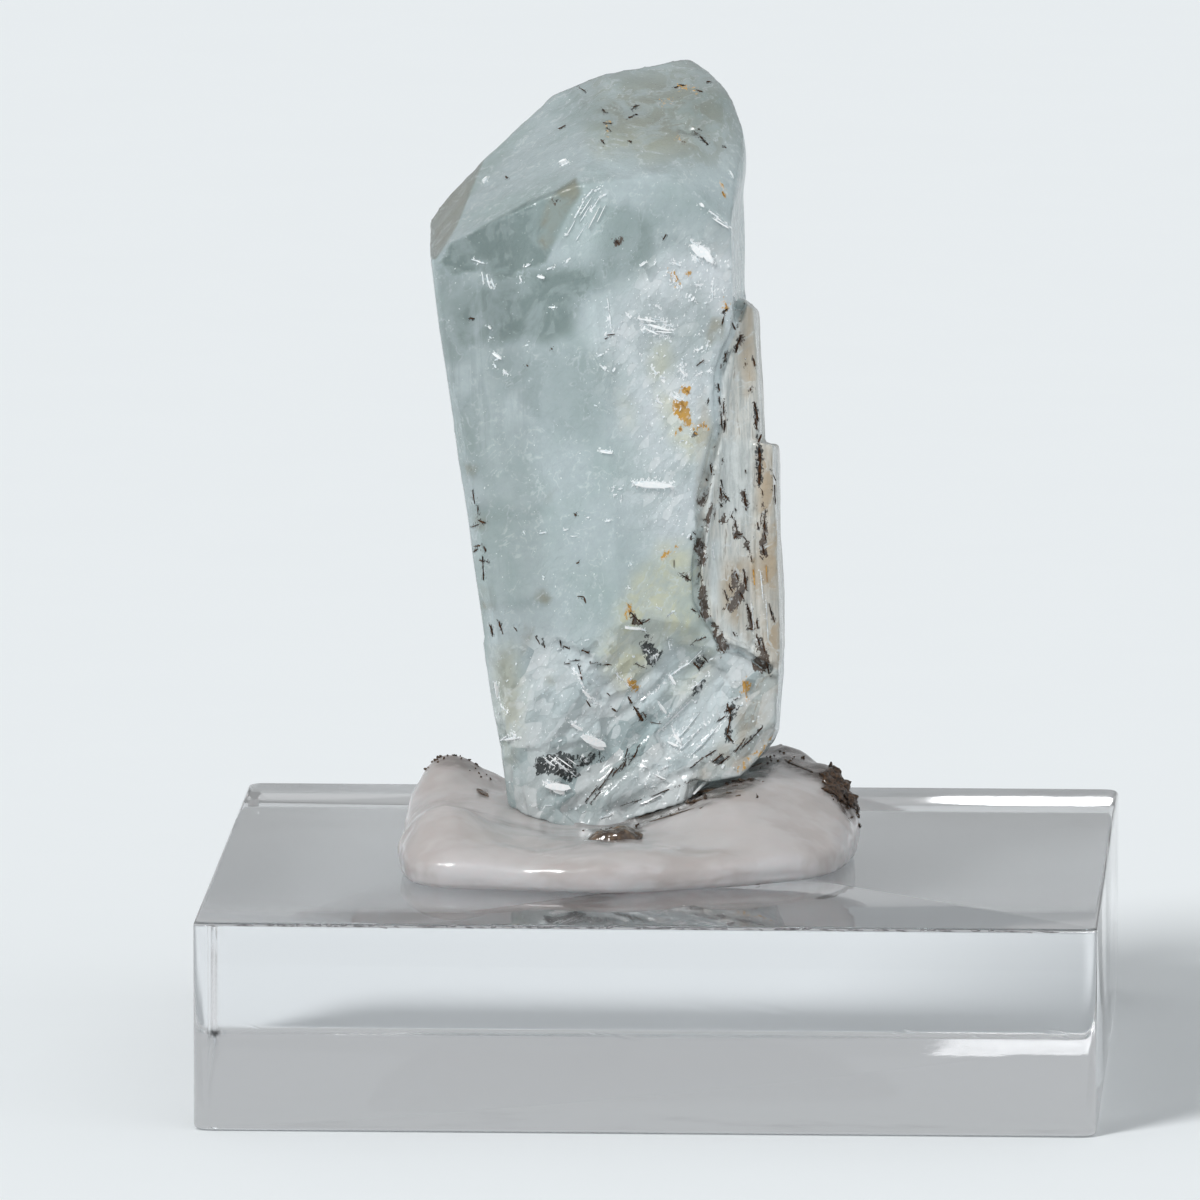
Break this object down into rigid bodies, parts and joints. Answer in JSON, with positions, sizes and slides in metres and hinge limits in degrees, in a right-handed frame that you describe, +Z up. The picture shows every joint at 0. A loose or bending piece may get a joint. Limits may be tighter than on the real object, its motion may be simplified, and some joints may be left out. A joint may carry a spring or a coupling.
{
  "type": "topaz crystal specimen",
  "caption": "Pale blue leaning topaz crystal with a worn tip and thin side laths, held up by a lump of translucent tack on a square clear acrylic block.",
  "frame": {"origin": "middle of the block's underside, on the surface it rests on", "axes": "+Z up; the side of the specimen that is shown faces -Y"},
  "size_m": [0.0254, 0.0254, 0.0285],
  "materials": {
    "topaz": "milky pale blue stone, worn and etched faces",
    "tack_putty": "translucent, smooth and shiny",
    "clear_acrylic": "clear, polished"
  },
  "bodies": {
    "root": {"topaz_crystal": "topaz", "mounting_putty": "tack_putty", "acrylic_base": "clear_acrylic"}
  },
  "joints": []
}
